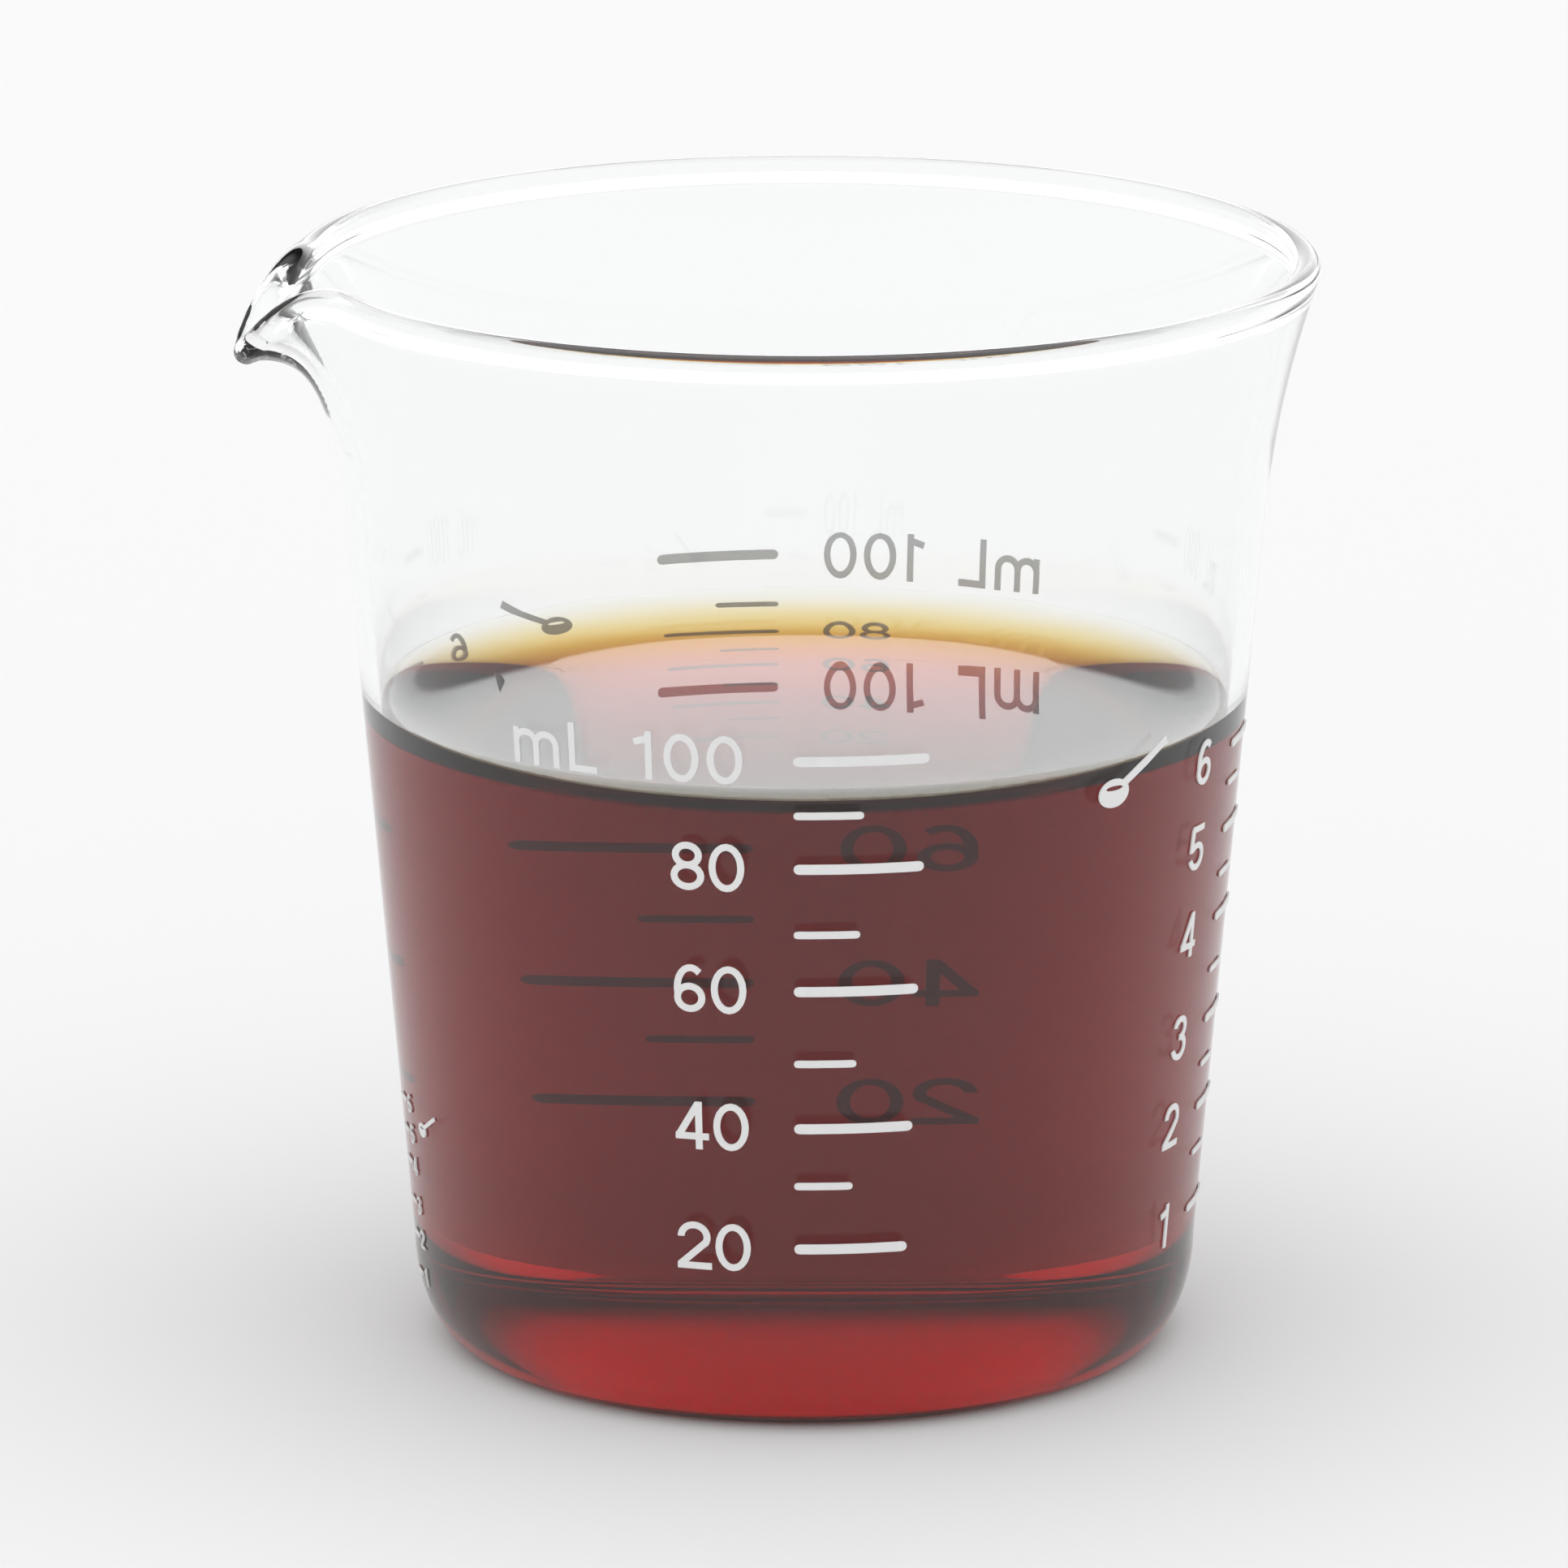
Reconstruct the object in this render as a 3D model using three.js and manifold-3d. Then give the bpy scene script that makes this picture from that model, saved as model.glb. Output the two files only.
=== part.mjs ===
// A 100 mL glass pouring beaker with three enamel scales fired onto the outside of its wall.
// The origin is the centre of the flat underside, +Z is up and the spout points along -X.
// Angles round the wall are in degrees from the spout, and 90 degrees is the side that faces -Y.
import * as THREE from "three";
import { mergeVertices } from "three/addons/utils/BufferGeometryUtils.js";
import Module from "manifold-3d";

const wasm = await Module();
wasm.setup();

// ---- Glass, in millimetres ----
const WALL = 1.2;
const FLOOR = 1.0;
const FOOT_RADIUS = 22.9; // the flat that the beaker stands on
const CORNER = { reach: 3.6, rise: 7.0 }; // quarter ellipse from the foot to the wall
const FLOOR_CORNER = { reach: 2.6, rise: 6.0 }; // the same inside, from the floor to the wall
const TAPER = 0.0865; // how far the wall leans out for each millimetre up
const FLARE_START = 57.0;
const FLARE_GAIN = 0.0078; // the flare leans out with the square of the height above its start
const BEAD = { radius: 0.9, r: 33.4, z: 73.4 }; // fire-polished rim
const BEAD_SWEEP = { from: -30, to: 210 }; // degrees, from the outer wall over the top to the inner
const GLASS_SEGMENTS = 96;
const ROWS = { outerCorner: 6, innerCorner: 5, spout: 8, bead: 6 }; // facets up each stretch

// ---- Spout: the rim is folded out and down, between two raised shoulders ----
const SPOUT_ROOT = 62.0; // the wall is undisturbed below this height
const SPOUT_RISE = { r: 32.6, z: 67.5 };
const SPOUT_KNEE = { r: 33.5, z: 69.3 };
const SPOUT_TIP = { r: 37.7, z: 69.3 };
const SPOUT_SPREAD = 7.0; // degrees either side of the tip
const SPOUT_FALLOFF = 1.5;
const SHOULDER = { angle: 12, width: 6, lift: 0.4 };
const CROWDING = 0.35; // share by which the facets are narrower at the spout and wider opposite

// ---- Enamel ----
const ENAMEL_GAP = 0.05;
const ENAMEL_THICKNESS = 0.1;
const ENAMEL_TOP = 54;
const ENAMEL_START = 3; // row of the outer corner where the enamel layer begins
const STAMP_DEPTH = 12;
const STROKE = 0.14; // pen width as a share of a figure's height
const CURVE_STEPS = 5; // straight pieces in a quarter turn of an outline

// Height of each graduation above the underside, by its volume in millilitres.
const GRADUATION = {
  0: 2.0,
  5: 5.2,
  10: 7.9,
  15: 10.3,
  20: 13.2,
  30: 17.6,
  40: 21.6,
  50: 26.1,
  60: 31.1,
  70: 35.0,
  80: 39.5,
  90: 43.15,
  100: 46.85,
};
const TABLESPOON = 14.79; // millilitres
const TEASPOON = 4.93;

// Each scale's figure height, the angle of its last figure, and the angle where its ticks begin.
const ML = { figure: 3.3, angle: 67.0, tick: 75.5 };
const TABLE = { figure: 3.1, angle: 139.8, tick: 150.0 };
const TEA = { figure: 1.3, angle: 2.2, tick: -3.8 };
const PITCH = { two: 2.6, three: 2.87 }; // spacing in a number of two or of three figures
const UNIT = { m: 41.4, L: 48.4 }; // angles of the two letters

const ML_LONG = { length: 7.0, growth: 0.0178, width: 0.68 }; // growth for each millilitre
const ML_SHORT = { length: 3.45, growth: 0.0125, width: 0.5 };
const TABLE_WHOLE = { length: 6.0, width: 0.55 };
const TABLE_HALF = { length: 3.3, width: 0.42 };
const TEA_TICK = { length: 2.0, width: 0.3 };
const TABLE_SPOON = { angle: 119.8, z: 42.65, size: 7.6 };
const TEA_SPOON = { angle: 8.0, z: 16.3, size: 3.8 };

const radians = THREE.MathUtils.degToRad;
const toDegrees = THREE.MathUtils.radToDeg;
const lerp = THREE.MathUtils.lerp;
const point = (r, z) => new THREE.Vector2(r, z);

// ---- Glass ----

// Values evenly spaced from one number to another, both included.
function spaced(from, to, count) {
  return Array.from({ length: count + 1 }, (_, i) => lerp(from, to, i / count));
}

// Quarter ellipse that leaves a flat at (r, z) and ends upright.
function corner(r, z, { reach, rise }, rows) {
  return spaced(0, Math.PI / 2, rows).map((a) =>
    point(r + reach * Math.sin(a), z + rise * (1 - Math.cos(a))));
}

// Radius of the outer wall at any height.
function outerRadius(z) {
  if (z < CORNER.rise) {
    const drop = 1 - z / CORNER.rise;
    return FOOT_RADIUS + CORNER.reach * Math.sqrt(1 - drop * drop);
  }
  const above = Math.max(0, z - FLARE_START);
  return FOOT_RADIUS + CORNER.reach + TAPER * (z - CORNER.rise) + FLARE_GAIN * above * above;
}

function beadArc() {
  return spaced(radians(BEAD_SWEEP.from), radians(BEAD_SWEEP.to), ROWS.bead).map((a) =>
    point(BEAD.r + BEAD.radius * Math.cos(a), BEAD.z + BEAD.radius * Math.sin(a)));
}

const outerCorner = corner(FOOT_RADIUS, 0, CORNER, ROWS.outerCorner);

// The half section, from the middle of the underside round the rim to the middle of the floor.
function section() {
  const flare = [FLARE_START, ...spaced(SPOUT_ROOT, BEAD.z - BEAD.radius, ROWS.spout)];
  const floorEdge = outerRadius(FLOOR + FLOOR_CORNER.rise) - WALL - FLOOR_CORNER.reach;
  return [
    point(0, 0),
    ...outerCorner,
    ...flare.map((z) => point(outerRadius(z), z)),
    ...beadArc(),
    ...flare.reverse().map((z) => point(outerRadius(z) - WALL, z)),
    ...corner(floorEdge, FLOOR, FLOOR_CORNER, ROWS.innerCorner).reverse(),
    point(0, FLOOR),
  ];
}

// Middle of the wall at the spout's centre line: it leaves the wall upright and ends level at the tip.
const lip = new THREE.CubicBezierCurve(
  point(outerRadius(SPOUT_ROOT) - WALL / 2, SPOUT_ROOT),
  point(SPOUT_RISE.r, SPOUT_RISE.z),
  point(SPOUT_KNEE.r, SPOUT_KNEE.z),
  point(SPOUT_TIP.r, SPOUT_TIP.z),
);

// Folds the top band of the wall out and down towards -X, as a hot rim is pulled into a spout.
function formSpout(geometry) {
  const position = geometry.getAttribute("position");
  const vertex = new THREE.Vector3();
  for (let i = 0; i < position.count; i++) {
    vertex.fromBufferAttribute(position, i);
    if (vertex.z <= SPOUT_ROOT) continue;
    const r = Math.hypot(vertex.x, vertex.y);
    const angle = Math.atan2(vertex.y, -vertex.x);
    const off = Math.abs(toDegrees(angle));
    const level = Math.min(vertex.z, BEAD.z);
    const t = (level - SPOUT_ROOT) / (BEAD.z - SPOUT_ROOT);
    const weight = Math.exp(-Math.pow(off / SPOUT_SPREAD, SPOUT_FALLOFF));
    const droop = weight * weight;
    const middle = point(Math.min(outerRadius(level) - WALL / 2, BEAD.r), level);
    const tangent = lip.getTangent(t);
    const turn = -droop * Math.atan2(tangent.x, tangent.y);
    const across = point(r - middle.x, vertex.z - level).rotateAround(point(0, 0), turn);
    const target = lip.getPoint(t);
    const moved = point(lerp(middle.x, target.x, weight), lerp(middle.y, target.y, droop)).add(across);
    const shoulder = Math.exp(-Math.pow((off - SHOULDER.angle) / SHOULDER.width, 2));
    moved.y += SHOULDER.lift * shoulder * t * t;
    position.setXYZ(i, -moved.x * Math.cos(angle), moved.x * Math.sin(angle), moved.y);
  }
}

// Turns a profile round the vertical axis, with its facets drawn together towards the spout.
function latheUp(profile) {
  const geometry = new THREE.LatheGeometry(profile, GLASS_SEGMENTS).rotateX(Math.PI / 2);
  const position = geometry.getAttribute("position");
  for (let i = 0; i < position.count; i++) {
    const [x, y] = [position.getX(i), position.getY(i)];
    const angle = Math.atan2(y, -x);
    const crowded = angle - CROWDING * Math.sin(angle);
    position.setX(i, -Math.hypot(x, y) * Math.cos(crowded));
    position.setY(i, Math.hypot(x, y) * Math.sin(crowded));
  }
  return geometry;
}

function glassVessel() {
  const geometry = latheUp(section());
  formSpout(geometry);
  return geometry;
}

// ---- Solids for cutting and joining ----

function solidOf(geometry) {
  const bare = geometry.index ? geometry.toNonIndexed() : geometry.clone();
  bare.deleteAttribute("normal");
  bare.deleteAttribute("uv");
  const merged = mergeVertices(bare, 1e-4);
  return new wasm.Manifold(
    new wasm.Mesh({
      numProp: 3,
      vertProperties: merged.getAttribute("position").array,
      triVerts: new Uint32Array(merged.index.array),
    }),
  );
}

function geometryOf(solid) {
  const { vertProperties, triVerts } = solid.getMesh();
  return new THREE.BufferGeometry()
    .setAttribute("position", new THREE.BufferAttribute(vertProperties, 3))
    .setIndex(new THREE.BufferAttribute(triVerts, 1));
}

// The thin layer just outside the wall that every enamel mark is cut from.
function enamelLayer() {
  const wall = [...outerCorner.slice(ENAMEL_START), point(outerRadius(ENAMEL_TOP), ENAMEL_TOP)];
  const offset = (distance) => wall.map(({ x, y }) => point(x + distance, y));
  const inner = offset(ENAMEL_GAP);
  const outer = offset(ENAMEL_GAP + ENAMEL_THICKNESS);
  return solidOf(latheUp([...outer, ...inner.reverse(), outer[0]]));
}
const layer = enamelLayer();

// ---- Pen strokes, drawn in a figure one unit high that stands on y = 0 ----

const half = STROKE / 2;

function bar(x0, y0, x1, y1, reach = half) {
  const side = point(x1 - x0, y1 - y0).normalize().multiplyScalar(reach);
  return new THREE.Shape([
    point(x0 - side.y, y0 + side.x),
    point(x0 + side.y, y0 - side.x),
    point(x1 + side.y, y1 - side.x),
    point(x1 - side.y, y1 + side.x),
  ]);
}

// A stretch of an elliptical stroke, turning anticlockwise from one angle to the other.
function bow(x, y, rx, ry, from, to) {
  const steps = Math.ceil((CURVE_STEPS * (to - from)) / 90);
  const edge = (grow, a, b) =>
    new THREE.EllipseCurve(x, y, rx + grow, ry + grow, radians(a), radians(b), a > b).getPoints(steps);
  return new THREE.Shape([...edge(half, from, to), ...edge(-half, to, from)]);
}

function ellipse(x, y, rx, ry) {
  const curve = new THREE.EllipseCurve(x, y, rx, ry);
  return curve.getPoints(4 * CURVE_STEPS).slice(1);
}

function ring(x, y, rx, ry) {
  const shape = new THREE.Shape(ellipse(x, y, rx + half, ry + half));
  shape.holes.push(new THREE.Path(ellipse(x, y, rx - half, ry - half)));
  return shape;
}

const FIGURES = {
  0: () => [ring(0, 0.5, 0.2875, 0.43)],
  1: () => [bar(0.2, 0, 0.2, 1), bar(-0.1, 0.76, 0.24, 0.86)],
  2: () => [
    bow(0, 0.68, 0.2675, 0.25, -38, 180),
    bar(0.235, 0.57, -0.28, 0.1),
    bar(-0.35, half, 0.35, half),
  ],
  3: () => [bow(0, 0.72, 0.235, 0.21, -95, 170), bow(0, 0.295, 0.2725, 0.225, -170, 95)],
  4: () => [bar(0.14, 0, 0.14, 1), bar(-0.34, 0.27, 0.34, 0.27), bar(0.12, 0.95, -0.28, 0.27)],
  5: () => [
    bar(-0.25, 1 - half, 0.29, 1 - half),
    bar(-0.21, 0.95, -0.25, 0.42),
    bow(0, 0.315, 0.2725, 0.245, -165, 140),
  ],
  6: () => [ring(0, 0.305, 0.25, 0.235), bow(0.03, 0.5, 0.28, 0.43, 50, 200)],
  8: () => [ring(0, 0.295, 0.2725, 0.225), ring(0, 0.725, 0.235, 0.205)],
  m: () => [
    ...[-0.48, 0, 0.48].map((x) => bar(x, 0, x, 0.48)),
    ...[-0.24, 0.24].map((x) => bow(x, 0.44, 0.24, 0.22, 0, 180)),
    bar(-0.48, 0, -0.48, 0.73),
  ],
  L: () => [bar(-0.26, 0, -0.26, 1), bar(-0.33, half, 0.3, half)],
};

// A measuring spoon one unit long, its bowl at the lower left and its handle rising to the right.
function spoonShapes() {
  const bowl = new THREE.Shape(ellipse(0, 0, 0.18, 0.13));
  bowl.holes.push(new THREE.Path(ellipse(0, 0.045, 0.1, 0.022)));
  return [bowl, bar(0.1, 0.065, 0.65, 0.37, 0.036)];
}

function tickShapes(length, width) {
  const end = width / 2;
  const roundEnd = (x, from) =>
    new THREE.EllipseCurve(x, 0, end, end, radians(from), radians(from + 180)).getPoints(CURVE_STEPS);
  return [new THREE.Shape([...roundEnd(end, 90), ...roundEnd(length - end, -90)])];
}

// ---- Enamel marks ----

// Cuts flat shapes, upright and facing out at an angle round the wall, out of the enamel layer.
function enamelMark(shapes, { angle, z, size }) {
  const stamps = shapes.map((shape) => {
    const stamp = new THREE.ExtrudeGeometry(shape, { depth: STAMP_DEPTH, bevelEnabled: false });
    stamp.scale(size, size, 1);
    stamp.rotateX(Math.PI / 2);
    stamp.translate(0, STAMP_DEPTH / 2 - outerRadius(z), z);
    stamp.rotateZ(radians(angle - 90));
    return solidOf(stamp);
  });
  return geometryOf(stamps.reduce((a, b) => a.add(b)).intersect(layer));
}

// Height of any volume, straight between the nearest graduations.
function heightOf(volume) {
  const known = Object.keys(GRADUATION).map(Number);
  const above = known.find((v) => v >= volume);
  const below = known.findLast((v) => v <= volume);
  const share = above === below ? 0 : (volume - below) / (above - below);
  return lerp(GRADUATION[below], GRADUATION[above], share);
}

const beaker = new THREE.Group();
const glass = new THREE.MeshStandardMaterial({
  color: 0xf2f6f5,
  roughness: 0.02,
  metalness: 0,
  transparent: true,
  opacity: 0.35,
});
const enamel = new THREE.MeshStandardMaterial({ color: 0xdfe1e3, roughness: 0.55, metalness: 0 });

function add(name, geometry, material) {
  const mesh = new THREE.Mesh(geometry, material.clone());
  mesh.name = name;
  beaker.add(mesh);
}

// One node for each figure of a word, centred on a height, whose last figure stands at an angle.
function write(name, word, lastAngle, height, size, pitch = 0) {
  [...word].reverse().forEach((figure, i) => {
    const node = word.length > 1 ? `${name}_${["ones", "tens", "hundreds"][i]}` : name;
    const angle = lastAngle - toDegrees((pitch * i) / outerRadius(height));
    add(node, enamelMark(FIGURES[figure](), { angle, z: height - size / 2, size }), enamel);
  });
}

function tick(name, angle, z, { length, width }) {
  add(name, enamelMark(tickShapes(length, width), { angle, z, size: 1 }), enamel);
}

add("glass_vessel", glassVessel(), glass);

// Millilitre scale: a number and a long tick every 20 mL, and a short tick between them.
for (let volume = 20; volume <= 100; volume += 10) {
  const z = heightOf(volume);
  const { length, growth, width } = volume % 20 === 0 ? ML_LONG : ML_SHORT;
  tick(`ml_tick_${volume}`, ML.tick, z, { length: length + growth * volume, width });
  if (volume % 20 === 0) {
    const pitch = volume < 100 ? PITCH.two : PITCH.three;
    write(`ml_${volume}`, String(volume), ML.angle, z, ML.figure, pitch);
  }
}
for (const [letter, angle] of Object.entries(UNIT)) {
  write(`unit_${letter}`, letter, angle, heightOf(100), ML.figure);
}

// Tablespoon scale: a figure and a long tick for each spoon, and a short tick for each half.
for (let spoons = 1; spoons <= 6; spoons += 0.5) {
  const z = heightOf(spoons * TABLESPOON);
  const whole = Number.isInteger(spoons);
  const label = whole ? spoons : `${Math.floor(spoons)}_half`;
  tick(`tablespoon_tick_${label}`, TABLE.tick, z, whole ? TABLE_WHOLE : TABLE_HALF);
  if (whole) write(`tablespoon_${spoons}`, String(spoons), TABLE.angle, z, TABLE.figure);
}
add("tablespoon_spoon", enamelMark(spoonShapes(), TABLE_SPOON), enamel);

// Teaspoon scale, under the spout: its ticks stand to the left of its figures.
for (let spoons = 1; spoons <= 6; spoons++) {
  const z = heightOf(spoons * TEASPOON);
  tick(`teaspoon_tick_${spoons}`, TEA.tick, z, TEA_TICK);
  write(`teaspoon_${spoons}`, String(spoons), TEA.angle, z, TEA.figure);
}
add("teaspoon_spoon", enamelMark(spoonShapes(), TEA_SPOON), enamel);

export default beaker;
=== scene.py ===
import math

import bmesh
import bpy
from mathutils import Matrix, Vector
from mathutils.geometry import interpolate_bezier


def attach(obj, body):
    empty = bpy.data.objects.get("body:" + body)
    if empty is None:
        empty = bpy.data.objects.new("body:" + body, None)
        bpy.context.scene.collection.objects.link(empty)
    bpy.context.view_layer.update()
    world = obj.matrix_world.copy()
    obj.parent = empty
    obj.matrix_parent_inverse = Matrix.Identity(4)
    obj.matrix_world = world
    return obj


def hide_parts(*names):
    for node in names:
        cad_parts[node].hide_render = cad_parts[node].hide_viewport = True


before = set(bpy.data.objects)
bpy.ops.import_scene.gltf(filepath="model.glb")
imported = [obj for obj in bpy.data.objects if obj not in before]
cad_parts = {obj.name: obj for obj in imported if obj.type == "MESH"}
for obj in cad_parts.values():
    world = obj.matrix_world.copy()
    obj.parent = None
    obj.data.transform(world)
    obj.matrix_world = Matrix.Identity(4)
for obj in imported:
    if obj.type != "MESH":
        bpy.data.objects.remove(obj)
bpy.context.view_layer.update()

bl_info = {
    "name": "Glass measuring beaker",
    "version": (1, 0, 0),
    "blender": (4, 5, 0),
    "location": "View3D > Sidebar > Beaker",
    "description": "Models a filled 100 mL measuring beaker around its packed frame",
    "category": "Object",
}

# Lengths are in metres, in the frame's own axes: +Z up and the spout towards -X.
MM = 0.001

# ---- The beaker's fixed shape, as in the frame ----
FOOT_RADIUS = 22.9 * MM
CORNER_REACH, CORNER_RISE = 3.6 * MM, 7.0 * MM
FLOOR_FLAT, FLOOR_RISE = 22.7 * MM, 6.0 * MM
TAPER = 0.0865
FLARE_START = 57.0 * MM
FLARE_GAIN = 0.0078 / MM
BEAD_R, BEAD_Z = 33.4 * MM, 73.4 * MM
BEAD_FROM, BEAD_TO = -30, 210
SPOUT_ROOT = 62.0 * MM
SPOUT_RISE = Vector((32.6, 67.5, 0)) * MM
SPOUT_KNEE = Vector((33.5, 69.3, 0)) * MM
SPOUT_TIP = Vector((37.7, 69.3, 0)) * MM
SPOUT_SPREAD = 7.0
SPOUT_FALLOFF = 1.5
SHOULDER_ANGLE, SHOULDER_WIDTH, SHOULDER_LIFT = 12, 6, 0.4 * MM
LIP_STEPS = 200

# ---- Rings in a turned piece ----
POLE_RADIUS = 1.5 * MM  # the first ring round the middle
CORNER_ROWS, DISC_RINGS = 18, 10
WALL_ROWS, FLARE_ROWS, BEAD_ROWS = 22, 20, 16
DRY_ROWS, WETTED_ROWS = 8, 14  # on the inner wall, over and under the edge of the liquid
MENISCUS_ROWS, SURFACE_RINGS = 26, 6
MENISCUS_END = math.radians(88)  # 90 degrees would be level, and infinitely far in

# ---- Where the second print of each scale stands, in degrees round from the first ----
ML_TURN = 185
TABLESPOON_TURN = 174


class BeakerGlassSizes(bpy.types.PropertyGroup):
    wall: bpy.props.FloatProperty(
        name="Wall", description="Thickness of the wall", default=1.2 * MM, unit="LENGTH")
    floor: bpy.props.FloatProperty(
        name="Floor", description="Thickness of the floor", default=1.0 * MM, unit="LENGTH")
    bead: bpy.props.FloatProperty(
        name="Bead", description="Radius of the rolled rim", default=0.9 * MM, unit="LENGTH")
    segments: bpy.props.IntProperty(
        name="Segments", description="Facets round the beaker", default=240, min=48)
    ior: bpy.props.FloatProperty(
        name="IOR", description="Refractive index of the glass", default=1.474)
    tint: bpy.props.FloatVectorProperty(
        name="Tint", description="Colour of the glass", subtype="COLOR",
        default=(0.985, 0.992, 0.99))


class BeakerLiquidSizes(bpy.types.PropertyGroup):
    level: bpy.props.FloatProperty(
        name="Level", description="Height of the flat surface", default=42.1 * MM, unit="LENGTH")
    capillary: bpy.props.FloatProperty(
        name="Capillary length", description="Scale of the climb at the wall",
        default=2.1 * MM, unit="LENGTH")
    contact: bpy.props.FloatProperty(
        name="Contact angle", description="Angle between the wall and the climbing surface",
        default=math.radians(8), subtype="ANGLE", unit="ROTATION")
    overlap: bpy.props.FloatProperty(
        name="Overlap", description="How far the liquid reaches into the glass",
        default=0.06 * MM, unit="LENGTH")
    ior: bpy.props.FloatProperty(
        name="IOR", description="Refractive index of the liquid", default=1.333)
    colour: bpy.props.FloatVectorProperty(
        name="Colour", description="What thin liquid lets through", subtype="COLOR",
        default=(0.945, 0.745, 0.03))
    density: bpy.props.FloatProperty(
        name="Density", description="Strength of the liquid's colour, for each metre",
        default=750.0)


class BeakerEnamelLook(bpy.types.PropertyGroup):
    colour: bpy.props.FloatVectorProperty(
        name="Colour", description="Fired enamel", subtype="COLOR", default=(0.76, 0.76, 0.755))
    thin: bpy.props.FloatVectorProperty(
        name="Thin", description="Enamel where the print is thin", subtype="COLOR",
        default=(0.70, 0.70, 0.70))
    roughness: bpy.props.FloatProperty(
        name="Roughness", description="Roughness of the enamel", default=0.5, subtype="FACTOR")
    thin_print: bpy.props.FloatProperty(
        name="Thin print", description="Share of light that shines through the second prints",
        default=0.5, subtype="FACTOR")


class BeakerStageLook(bpy.types.PropertyGroup):
    floor: bpy.props.FloatVectorProperty(
        name="Floor", description="Colour of the floor", subtype="COLOR",
        default=(0.85, 0.85, 0.855))
    floor_size: bpy.props.FloatProperty(
        name="Floor size", description="Width of the floor", default=40.0, unit="LENGTH")
    ambient: bpy.props.FloatProperty(
        name="Ambient", description="Brightness low down at the front and sides", default=1.05)
    backdrop: bpy.props.FloatProperty(
        name="Backdrop", description="Brightness of the backdrop", default=2.2)
    sides: bpy.props.FloatProperty(
        name="Sides", description="Brightness of the sides under the light overhead",
        default=0.95)
    gap: bpy.props.FloatProperty(
        name="Gap", description="Brightness of the dark gap over the backdrop", default=0.08)
    overhead: bpy.props.FloatProperty(
        name="Overhead", description="Brightness of the light overhead", default=1.38)


# ---- Profiles ----

def outer_radius(z):
    """Radius of the outer wall at a height."""
    if z < CORNER_RISE:
        drop = 1 - z / CORNER_RISE
        return FOOT_RADIUS + CORNER_REACH * math.sqrt(max(0, 1 - drop * drop))
    above = max(0, z - FLARE_START)
    return FOOT_RADIUS + CORNER_REACH + TAPER * (z - CORNER_RISE) + FLARE_GAIN * above * above


def floor_reach():
    """Width of the floor's curved corner inside."""
    sizes = bpy.context.scene.beaker_glass
    return outer_radius(sizes.floor + FLOOR_RISE) - sizes.wall - FLOOR_FLAT


def spaced(start, end, count):
    return [start + (end - start) * i / count for i in range(count + 1)]


def quarter(radius, height, reach, rise, rows):
    """Quarter ellipse that leaves a flat at (radius, height) and ends upright."""
    return [
        (radius + reach * math.sin(a), height + rise * (1 - math.cos(a)))
        for a in spaced(0, math.pi / 2, rows)
    ]


def disc_rings(edge, height, rings):
    """Rings from near the middle of a flat disc to just inside its edge."""
    return [(r, height) for r in spaced(POLE_RADIUS, edge, rings)[:-1]]


# ---- Modelling helpers ----

def deselect_all():
    if bpy.context.object and bpy.context.object.mode != "OBJECT":
        bpy.ops.object.mode_set(mode="OBJECT")
    bpy.ops.object.select_all(action="DESELECT")


def turn_rings(name, rings, segments):
    """A turned body: a circle is extruded and scaled from ring to ring, and both ends close to a point."""
    deselect_all()
    radius, height = rings[0]
    bpy.ops.mesh.primitive_circle_add(vertices=segments, radius=radius, location=(0, 0, height))
    piece = bpy.context.object
    piece.name = piece.data.name = name
    bpy.ops.object.mode_set(mode="EDIT")
    bpy.ops.mesh.select_mode(type="VERT")
    bpy.ops.mesh.select_all(action="SELECT")
    for next_radius, next_height in rings[1:]:
        bpy.ops.mesh.extrude_region_move(
            TRANSFORM_OT_translate={"value": (0, 0, next_height - height)})
        scale = next_radius / radius
        bpy.ops.transform.resize(
            value=(scale, scale, 1), center_override=(0, 0, next_height))
        radius, height = next_radius, next_height
    bpy.ops.mesh.select_all(action="DESELECT")
    bpy.ops.mesh.select_non_manifold()
    bpy.ops.mesh.fill_holes(sides=0)
    select_faces(piece, lambda face: len(face.verts) > 4)
    bpy.ops.mesh.poke()
    bpy.ops.mesh.select_all(action="SELECT")
    bpy.ops.mesh.normals_make_consistent(inside=False)
    bpy.ops.object.mode_set(mode="OBJECT")
    bpy.ops.object.transform_apply(location=True, rotation=True, scale=True)
    bpy.ops.object.shade_smooth()
    return piece


def select_faces(piece, wanted):
    """Selects, in edit mode, just the faces that are wanted."""
    bpy.ops.mesh.select_mode(type="FACE")
    bpy.ops.mesh.select_all(action="DESELECT")
    mesh = bmesh.from_edit_mesh(piece.data)
    for face in mesh.faces:
        face.select_set(wanted(face))
    bmesh.update_edit_mesh(piece.data)


def give_material(piece, material):
    piece.data.materials.clear()
    piece.data.materials.append(material)


def fresh_material(name):
    """A material with only its output node, and the function that adds a node to it."""
    material = bpy.data.materials.new(name)
    material.use_nodes = True
    tree = material.node_tree
    tree.nodes.clear()
    output = tree.nodes.new("ShaderNodeOutputMaterial")
    return material, tree, output


def add_node(tree, kind, values=None, **settings):
    node = tree.nodes.new(kind)
    for key, value in settings.items():
        setattr(node, key, value)
    for key, value in (values or {}).items():
        node.inputs[key].default_value = value
    return node


# ---- Materials ----

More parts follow.
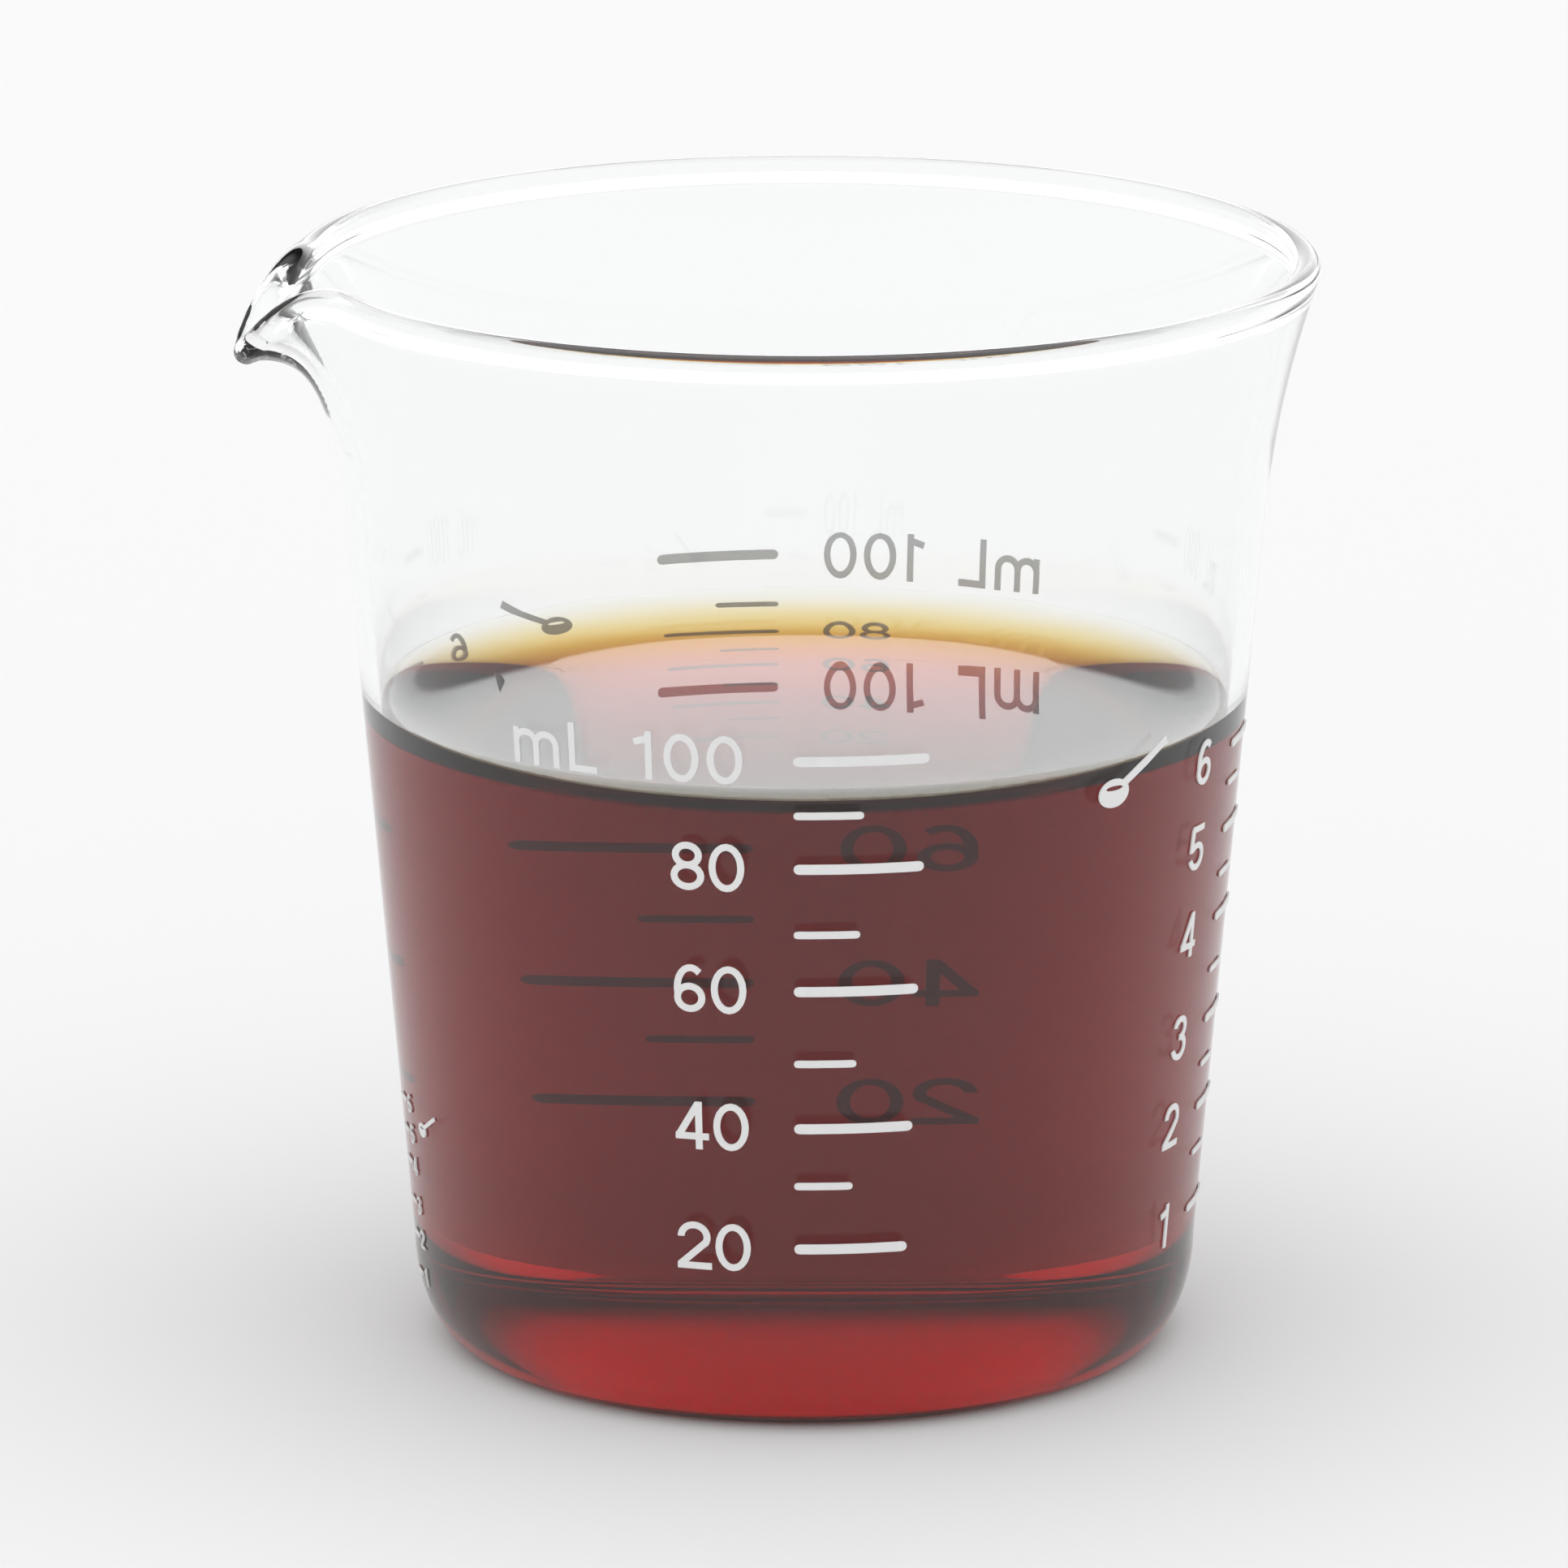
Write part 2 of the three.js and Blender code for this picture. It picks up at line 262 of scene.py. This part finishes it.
def glass_material(name, specular_tint=(1, 1, 1)):
    """Clear fired glass with the faint waviness of a moulded wall."""
    sizes = bpy.context.scene.beaker_glass
    material, tree, output = fresh_material(name)
    shader = add_node(tree, "ShaderNodeBsdfPrincipled", {
        "Base Color": (*sizes.tint, 1),
        "Roughness": 0.0,
        "IOR": sizes.ior,
        "Transmission Weight": 1.0,
        "Specular Tint": (*specular_tint, 1),
    })
    place = add_node(tree, "ShaderNodeTexCoord")
    stretch = add_node(tree, "ShaderNodeMapping", {"Scale": (1, 1, 0.35)})
    waves = add_node(tree, "ShaderNodeTexNoise", {"Scale": 55.0, "Detail": 1.0, "Roughness": 0.4})
    bump = add_node(tree, "ShaderNodeBump", {"Strength": 0.25, "Distance": 0.03 * MM})
    tree.links.new(place.outputs["Object"], stretch.inputs["Vector"])
    tree.links.new(stretch.outputs["Vector"], waves.inputs["Vector"])
    tree.links.new(waves.outputs["Fac"], bump.inputs["Height"])
    tree.links.new(bump.outputs["Normal"], shader.inputs["Normal"])
    tree.links.new(shader.outputs["BSDF"], output.inputs["Surface"])
    return material


def liquid_material():
    """Dark red-brown solution, yellow where it is thin, with a hardly visible tremor on its surface."""
    sizes = bpy.context.scene.beaker_liquid
    material, tree, output = fresh_material("brown_solution")
    shader = add_node(tree, "ShaderNodeBsdfPrincipled", {
        "Base Color": (1, 1, 1, 1),
        "Roughness": 0.0,
        "IOR": sizes.ior,
        "Transmission Weight": 1.0,
        "Specular Tint": (1, 1, 1, 1),
    })
    absorb = add_node(tree, "ShaderNodeVolumeAbsorption", {
        "Color": (*sizes.colour, 1),
        "Density": sizes.density,
    })
    place = add_node(tree, "ShaderNodeTexCoord")
    tremor = add_node(tree, "ShaderNodeTexNoise", {"Scale": 40.0, "Detail": 1.0, "Roughness": 0.4})
    bump = add_node(tree, "ShaderNodeBump", {"Strength": 0.1, "Distance": 0.02 * MM})
    tree.links.new(place.outputs["Object"], tremor.inputs["Vector"])
    tree.links.new(tremor.outputs["Fac"], bump.inputs["Height"])
    tree.links.new(bump.outputs["Normal"], shader.inputs["Normal"])
    tree.links.new(shader.outputs["BSDF"], output.inputs["Surface"])
    tree.links.new(absorb.outputs["Volume"], output.inputs["Volume"])
    return material


def enamel_material(name, translucency=0.0):
    """White fired print, a little uneven in thickness and gloss."""
    look = bpy.context.scene.beaker_enamel
    material, tree, output = fresh_material(name)
    shader = add_node(tree, "ShaderNodeBsdfPrincipled", {
        "IOR": 1.5, "Transmission Weight": translucency})
    place = add_node(tree, "ShaderNodeTexCoord")
    cloud = add_node(tree, "ShaderNodeTexNoise", {"Scale": 900.0, "Detail": 3.0})
    grain = add_node(tree, "ShaderNodeTexNoise", {"Scale": 9000.0, "Detail": 2.0})
    shade = add_node(tree, "ShaderNodeMix", data_type="RGBA")
    shade.inputs["A"].default_value = (*look.thin, 1)
    shade.inputs["B"].default_value = (*look.colour, 1)
    gloss = add_node(tree, "ShaderNodeMapRange", {
        "To Min": look.roughness - 0.06, "To Max": look.roughness + 0.1})
    bump = add_node(tree, "ShaderNodeBump", {"Strength": 0.3, "Distance": 0.01 * MM})
    link = tree.links.new
    link(place.outputs["Object"], cloud.inputs["Vector"])
    link(place.outputs["Object"], grain.inputs["Vector"])
    link(cloud.outputs["Fac"], shade.inputs["Factor"])
    link(shade.outputs["Result"], shader.inputs["Base Color"])
    link(cloud.outputs["Fac"], gloss.inputs["Value"])
    link(gloss.outputs["Result"], shader.inputs["Roughness"])
    link(grain.outputs["Fac"], bump.inputs["Height"])
    link(bump.outputs["Normal"], shader.inputs["Normal"])
    link(shader.outputs["BSDF"], output.inputs["Surface"])
    return material


# ---- Glass ----

def climb():
    """How far the edge of the liquid climbs the wall."""
    sizes = bpy.context.scene.beaker_liquid
    return 2 * sizes.capillary * math.sin((math.pi / 2 - sizes.contact) / 2)


def contact_height():
    return bpy.context.scene.beaker_liquid.level + climb()


def glass_rings():
    """The half section, from the middle of the underside round the rim to the middle of the floor."""
    sizes = bpy.context.scene.beaker_glass
    outside = quarter(FOOT_RADIUS, 0, CORNER_REACH, CORNER_RISE, CORNER_ROWS)
    outside += [(outer_radius(z), z) for z in spaced(CORNER_RISE, SPOUT_ROOT, WALL_ROWS)[1:]]
    flare_top = BEAD_Z - sizes.bead
    flare = spaced(SPOUT_ROOT, flare_top, FLARE_ROWS)
    outside += [(outer_radius(z), z) for z in flare[1:]]
    bead = [
        (BEAD_R + sizes.bead * math.cos(a), BEAD_Z + sizes.bead * math.sin(a))
        for a in (math.radians(d) for d in spaced(BEAD_FROM, BEAD_TO, BEAD_ROWS))
    ]
    contact = contact_height()
    floor_top = sizes.floor + FLOOR_RISE
    dry = spaced(SPOUT_ROOT, contact, DRY_ROWS)[1:]
    heights = flare[::-1] + dry + spaced(contact, floor_top, WETTED_ROWS)[1:]
    inside = [(outer_radius(z) - sizes.wall, z) for z in heights]
    inside += quarter(FLOOR_FLAT, sizes.floor, floor_reach(), FLOOR_RISE, CORNER_ROWS)[::-1][1:]
    inside += disc_rings(FLOOR_FLAT, sizes.floor, DISC_RINGS)[::-1]
    return disc_rings(FOOT_RADIUS, 0, DISC_RINGS) + outside + bead + inside


def lip_curve():
    """Middle of the wall along the spout: points (radius, height), from the root to the tip."""
    root = Vector((outer_radius(SPOUT_ROOT) - bpy.context.scene.beaker_glass.wall / 2, SPOUT_ROOT, 0))
    return interpolate_bezier(root, SPOUT_RISE, SPOUT_KNEE, SPOUT_TIP, LIP_STEPS + 1)


def along(points, t):
    """Point and direction at a share of the way along evenly numbered points."""
    place = min(max(t, 0), 1) * (len(points) - 1)
    first = min(int(place), len(points) - 2)
    here, there = points[first], points[first + 1]
    return here.lerp(there, place - first), (there - here).normalized()


def pull_spout(piece):
    """Folds the top band of the wall out and down, as a hot rim is pulled into a spout."""
    sizes = bpy.context.scene.beaker_glass
    lip = lip_curve()
    for vertex in piece.data.vertices:
        x, y, z = vertex.co
        if z <= SPOUT_ROOT:
            continue
        r = math.hypot(x, y)
        angle = math.atan2(y, -x)
        off = abs(math.degrees(angle))
        level = min(z, BEAD_Z)
        t = (level - SPOUT_ROOT) / (BEAD_Z - SPOUT_ROOT)
        weight = math.exp(-((off / SPOUT_SPREAD) ** SPOUT_FALLOFF))
        droop = weight * weight
        middle = Vector((min(outer_radius(level) - sizes.wall / 2, BEAD_R), level))
        target, tangent = along(lip, t)
        turn = -droop * math.atan2(tangent.x, tangent.y)
        across = Matrix.Rotation(turn, 2) @ (Vector((r, z)) - middle)
        moved_r = middle.x + (target.x - middle.x) * weight + across.x
        moved_z = middle.y + (target.y - middle.y) * droop + across.y
        shoulder = math.exp(-(((off - SHOULDER_ANGLE) / SHOULDER_WIDTH) ** 2))
        moved_z += SHOULDER_LIFT * shoulder * t * t
        vertex.co = (-moved_r * math.cos(angle), moved_r * math.sin(angle), moved_z)
    piece.data.update()


class BEAKER_OT_glass(bpy.types.Operator):
    """Turns the glass beaker and pulls its spout"""
    bl_idname = "beaker.glass"
    bl_label = "Glass beaker"

    def execute(self, context):
        sizes = context.scene.beaker_glass
        piece = turn_rings("beaker_glass", glass_rings(), sizes.segments)
        pull_spout(piece)
        give_material(piece, glass_material("clear_glass"))
        piece.data.materials.append(glass_material("wetted_glass", (0, 0, 0)))
        contact = contact_height()

        def wetted(face):
            middle = face.calc_center_median()
            r = math.hypot(middle.x, middle.y)
            inside = r < outer_radius(middle.z) - sizes.wall / 2
            return sizes.floor / 2 < middle.z < contact and inside

        bpy.ops.object.mode_set(mode="EDIT")
        select_faces(piece, wetted)
        piece.active_material_index = 1
        bpy.ops.object.material_slot_assign()
        bpy.ops.object.mode_set(mode="OBJECT")
        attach(piece, "root")
        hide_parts("glass_vessel")
        return {"FINISHED"}


# ---- Liquid ----

def liquid_rings():
    """From the middle of the floor out, up the wall, over the climbing edge and in to the middle."""
    glass = bpy.context.scene.beaker_glass
    sizes = bpy.context.scene.beaker_liquid
    overlap = sizes.overlap
    contact = contact_height()
    floor_top = glass.floor + FLOOR_RISE
    bottom = glass.floor - overlap
    corner = quarter(
        FLOOR_FLAT, bottom, floor_reach() + overlap, FLOOR_RISE + overlap, CORNER_ROWS)
    heights = spaced(floor_top, contact, WETTED_ROWS)[1:]
    wall = [(outer_radius(z) - glass.wall + overlap, z) for z in heights]
    edge = outer_radius(contact) - glass.wall
    surface = [(edge - inward, sizes.level + rise) for inward, rise in meniscus()]
    middle = disc_rings(surface[-1][0], sizes.level, SURFACE_RINGS)[::-1]
    return disc_rings(FLOOR_FLAT, bottom, DISC_RINGS) + corner + wall + surface + middle


def meniscus():
    """The climbing edge: (distance in from the wall, height above the level), from the wall inwards."""
    scale = bpy.context.scene.beaker_liquid.capillary
    top = climb()

    def reach(rise):
        return scale * (math.acosh(2 * scale / rise) - math.sqrt(4 - (rise / scale) ** 2))

    rises = [top * math.cos(a) ** 1.5 for a in spaced(0, MENISCUS_END, MENISCUS_ROWS)]
    return [(reach(rise) - reach(top), rise) for rise in rises]


class BEAKER_OT_liquid(bpy.types.Operator):
    """Fills the beaker"""
    bl_idname = "beaker.liquid"
    bl_label = "Liquid"

    def execute(self, context):
        piece = turn_rings("liquid_fill", liquid_rings(), context.scene.beaker_glass.segments)
        bpy.ops.object.shade_smooth_by_angle(angle=math.radians(30))
        give_material(piece, liquid_material())
        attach(piece, "root")
        return {"FINISHED"}


# ---- Enamel ----

class BEAKER_OT_marks(bpy.types.Operator):
    """Finishes the printed marks of the frame"""
    bl_idname = "beaker.marks"
    bl_label = "Printed marks"

    def execute(self, context):
        enamel = enamel_material("fired_enamel")
        for name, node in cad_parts.items():
            if name != "glass_vessel":
                give_material(node, enamel)
        return {"FINISHED"}


def print_again(name, prefixes, turn, enamel):
    """A copy of the marks whose names begin with a prefix, turned round the beaker."""
    deselect_all()
    copies = []
    for node_name, node in sorted(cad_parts.items()):
        if node_name.startswith(prefixes):
            mesh = node.data.copy()
            copies.append(bpy.data.objects.new(name, mesh))
            bpy.context.scene.collection.objects.link(copies[-1])
            copies[-1].select_set(True)
    bpy.context.view_layer.objects.active = copies[0]
    bpy.ops.object.join()
    piece = bpy.context.object
    piece.name = piece.data.name = name
    bpy.ops.object.mode_set(mode="EDIT")
    bpy.ops.mesh.select_all(action="SELECT")
    bpy.ops.mesh.remove_doubles(threshold=0.0005 * MM)
    bpy.ops.transform.rotate(value=-math.radians(turn), orient_axis="Z", center_override=(0, 0, 0))
    bpy.ops.object.mode_set(mode="OBJECT")
    give_material(piece, enamel)
    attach(piece, "root")
    return piece


class BEAKER_OT_back_scales(bpy.types.Operator):
    """Prints the millilitre and tablespoon scales again on the other side"""
    bl_idname = "beaker.back_scales"
    bl_label = "Second prints"

    def execute(self, context):
        enamel = enamel_material("thin_enamel", context.scene.beaker_enamel.thin_print)
        print_again("ml_scale_back", ("ml_", "unit_"), ML_TURN, enamel)
        print_again("tablespoon_scale_back", ("tablespoon_",), TABLESPOON_TURN, enamel)
        return {"FINISHED"}


# ---- Stage ----

BACK = Vector((0.22495, 0.97437, 0))  # level direction that the camera looks along
SIDE = Vector((0.97437, -0.22495, 0))
CAMERA_DISTANCE = 699.2 * MM
CAMERA_SIDE = -1.38 * MM
CAMERA_HEIGHT = 216.25 * MM
CAMERA_DOWN = 0.25
LENS = 246.0
BOUNCES = 24
SENSOR_WIDTH = 36

# Where each light begins and ends to change: cosines from straight back, then sines of elevation.
BACKDROP_SIDES = (0.72, 0.93)
GAP_SIDES = (0.2, 0.8)
BACKDROP_TOP = (0.33, 0.39)
OVERHEAD_EDGE = (0.55, 0.85)


def light_room(tree, look):
    """A low bright backdrop behind with a dark gap over it, and a soft light overhead."""
    link = tree.links.new
    background = tree.nodes["Background"]
    background.inputs["Color"].default_value = (1, 1, 1, 1)
    direction = add_node(tree, "ShaderNodeTexCoord").outputs["Generated"]
    parts = add_node(tree, "ShaderNodeSeparateXYZ")
    link(direction, parts.inputs["Vector"])
    height = parts.outputs["Z"]

    def eased(value, edges, before, after):
        """Goes smoothly from one brightness to another between two edges of a value."""
        ramp = add_node(tree, "ShaderNodeMapRange", {"From Min": edges[0], "From Max": edges[1]},
                        interpolation_type="SMOOTHSTEP")
        link(value, ramp.inputs["Value"])
        for level, socket in ((before, ramp.inputs["To Min"]), (after, ramp.inputs["To Max"])):
            if isinstance(level, float):
                socket.default_value = level
            else:
                link(level, socket)
        return ramp.outputs["Result"]

    toward_back = add_node(tree, "ShaderNodeVectorMath", operation="DOT_PRODUCT")
    toward_back.inputs[1].default_value = BACK
    link(direction, toward_back.inputs[0])
    cosine = toward_back.outputs["Value"]

    low = eased(cosine, BACKDROP_SIDES, look.ambient, look.backdrop)
    over = eased(cosine, GAP_SIDES, look.sides, look.gap)
    middle = eased(height, BACKDROP_TOP, low, over)
    upper = eased(height, OVERHEAD_EDGE, middle, look.overhead)
    link(upper, background.inputs["Strength"])


class BEAKER_OT_stage(bpy.types.Operator):
    """Lays the pale floor, sets the soft light and places the camera"""
    bl_idname = "beaker.stage"
    bl_label = "Floor, light and camera"

    def execute(self, context):
        scene = context.scene
        look = scene.beaker_stage
        deselect_all()
        bpy.ops.mesh.primitive_plane_add(size=look.floor_size, location=(0, 0, -0.01 * MM))
        floor = context.object
        floor.name = "studio_floor"
        material, tree, output = fresh_material("pale_floor")
        shader = add_node(tree, "ShaderNodeBsdfPrincipled", {
            "Base Color": (*look.floor, 1), "Roughness": 0.85, "Specular IOR Level": 0.15})
        tree.links.new(shader.outputs["BSDF"], output.inputs["Surface"])
        give_material(floor, material)

        world = bpy.data.worlds.new("studio_room")
        scene.world = world
        world.use_nodes = True
        light_room(world.node_tree, look)

        camera = bpy.data.cameras.new("studio_camera")
        camera.lens = LENS
        camera.sensor_width = SENSOR_WIDTH
        camera.clip_start, camera.clip_end = 0.01, 100
        viewer = bpy.data.objects.new("studio_camera", camera)
        scene.collection.objects.link(viewer)
        viewer.location = -BACK * CAMERA_DISTANCE + SIDE * CAMERA_SIDE + Vector((0, 0, CAMERA_HEIGHT))
        ahead = BACK * math.cos(CAMERA_DOWN) - Vector((0, 0, math.sin(CAMERA_DOWN)))
        viewer.rotation_euler = ahead.to_track_quat("-Z", "Y").to_euler()
        scene.camera = viewer

        scene.view_settings.view_transform = "Standard"
        scene.cycles.max_bounces = BOUNCES
        scene.cycles.transmission_bounces = BOUNCES
        scene.cycles.glossy_bounces = BOUNCES
        scene.cycles.sample_clamp_indirect = 8
        return {"FINISHED"}


class VIEW3D_PT_beaker(bpy.types.Panel):
    """The beaker's pieces, in the order in which they are made"""
    bl_label = "Beaker"
    bl_idname = "VIEW3D_PT_beaker"
    bl_space_type = "VIEW_3D"
    bl_region_type = "UI"
    bl_category = "Beaker"

    def draw(self, context):
        for operator in OPERATORS:
            self.layout.operator(operator.bl_idname)


GROUPS = {
    "beaker_glass": BeakerGlassSizes,
    "beaker_liquid": BeakerLiquidSizes,
    "beaker_enamel": BeakerEnamelLook,
    "beaker_stage": BeakerStageLook,
}
OPERATORS = (
    BEAKER_OT_glass, BEAKER_OT_liquid, BEAKER_OT_marks, BEAKER_OT_back_scales, BEAKER_OT_stage)
CLASSES = (*GROUPS.values(), *OPERATORS, VIEW3D_PT_beaker)


def register():
    for cls in CLASSES:
        bpy.utils.register_class(cls)
    for name, group in GROUPS.items():
        setattr(bpy.types.Scene, name, bpy.props.PointerProperty(type=group))


def unregister():
    for name in GROUPS:
        delattr(bpy.types.Scene, name)
    for cls in reversed(CLASSES):
        bpy.utils.unregister_class(cls)


def main():
    register()
    bpy.ops.beaker.glass()
    bpy.ops.beaker.liquid()
    bpy.ops.beaker.marks()
    bpy.ops.beaker.back_scales()
    bpy.ops.beaker.stage()


if __name__ == "__main__":
    main()
